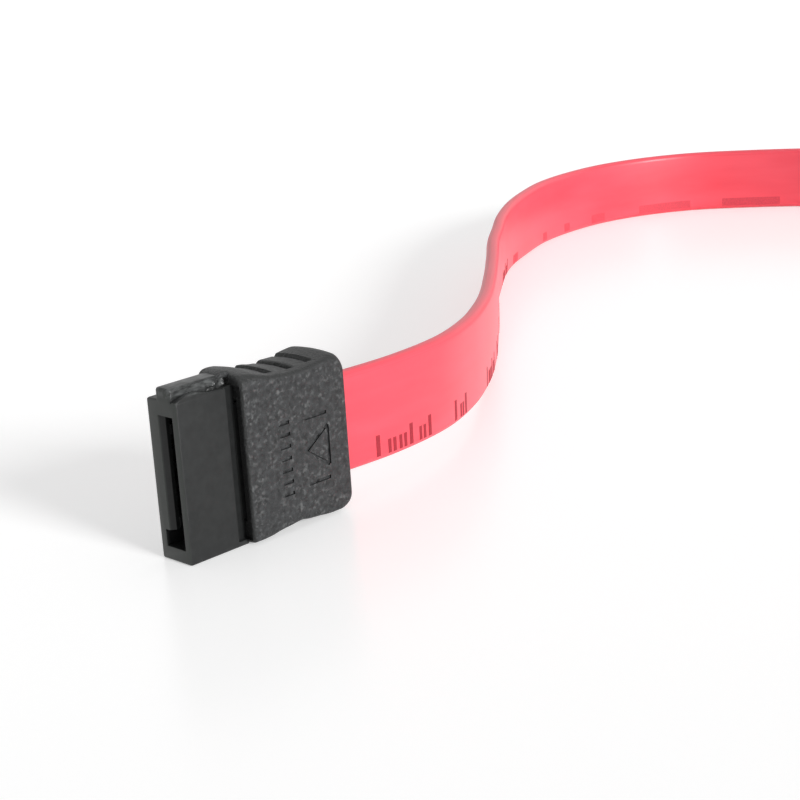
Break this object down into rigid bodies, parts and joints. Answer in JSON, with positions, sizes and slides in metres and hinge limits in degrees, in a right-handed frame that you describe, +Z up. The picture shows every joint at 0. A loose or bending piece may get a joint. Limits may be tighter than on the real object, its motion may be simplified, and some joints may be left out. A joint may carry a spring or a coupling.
{
  "type": "drive data cable",
  "caption": "Flat red drive data cable on its edge, with a small black keyed plug and grip boot at one end and a wide drive connector at the other.",
  "frame": {"origin": "bottom centre of the signal plug, on the surface that it stands on", "axes": "+X from the plug's mouth towards its cable, +Y across its broad faces, +Z up along its slot"},
  "size_m": [0.1596, 0.1384, 0.0145],
  "materials": {
    "housing": "smooth satin",
    "boot": "fine spark texture",
    "inner_mould": "satin",
    "contact": "plated, polished",
    "core": "satin",
    "drain_wire": "tinned, bright",
    "cable": "satin vinyl"
  },
  "bodies": {
    "root": {"plug_housing": "housing", "plug_boot": "boot", "plug_inner_mould": "inner_mould", "cable_run": "cable", "drive_housing": "housing", "drive_shell_lower": "boot", "drive_shell_upper": "boot", "drive_power_blank": "housing", "plug_contact_1": "contact", "plug_contact_2": "contact", "plug_contact_3": "contact", "plug_contact_4": "contact", "plug_contact_5": "contact", "plug_contact_6": "contact", "plug_contact_7": "contact", "drive_signal_contact_1": "contact", "drive_signal_contact_2": "contact", "drive_signal_contact_3": "contact", "drive_signal_contact_4": "contact", "drive_signal_contact_5": "contact", "drive_signal_contact_6": "contact", "drive_signal_contact_7": "contact", "drive_second_contact_1": "contact", "drive_second_contact_2": "contact", "drive_second_contact_3": "contact", "drive_second_contact_4": "contact", "drive_second_contact_5": "contact", "drive_second_contact_6": "contact", "drive_second_contact_7": "contact", "drive_power_contact_1": "contact", "drive_power_contact_2": "contact", "drive_power_contact_3": "contact", "drive_power_contact_4": "contact", "drive_power_contact_5": "contact", "drive_power_contact_6": "contact", "drive_power_contact_7": "contact", "drive_power_contact_8": "contact", "drive_power_contact_9": "contact", "drive_power_contact_10": "contact", "drive_power_contact_11": "contact", "drive_power_contact_12": "contact", "drive_power_contact_13": "contact", "drive_power_contact_14": "contact", "drive_power_contact_15": "contact", "plug_core_1": "core", "plug_core_2": "core", "plug_core_3": "core", "plug_core_4": "core", "drive_core_1": "core", "drive_core_2": "core", "drive_core_3": "core", "drive_core_4": "core", "plug_drain_1": "drain_wire", "plug_drain_2": "drain_wire", "plug_drain_3": "drain_wire"}
  },
  "joints": []
}
